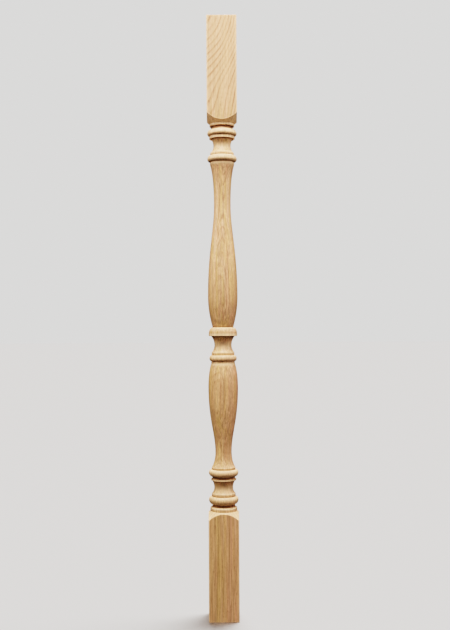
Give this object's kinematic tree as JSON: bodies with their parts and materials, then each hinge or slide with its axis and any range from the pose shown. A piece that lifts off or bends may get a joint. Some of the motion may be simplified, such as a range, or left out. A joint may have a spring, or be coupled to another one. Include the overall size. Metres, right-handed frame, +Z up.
{
  "type": "newel post",
  "caption": "Turned oak newel post with a square block at each end and a shaft of two long vases, rings, beads and coves.",
  "frame": {"origin": "middle of the underside", "axes": "+Z up along the post's axis, -Y out of the face that the picture shows, +X to that face's right"},
  "size_m": [0.0762, 0.0762, 1.524],
  "materials": {
    "oak": "bare pale oak, turned and fine sanded, with open grain and no lacquer"
  },
  "bodies": {
    "root": {"newel_post": "oak"}
  },
  "joints": []
}
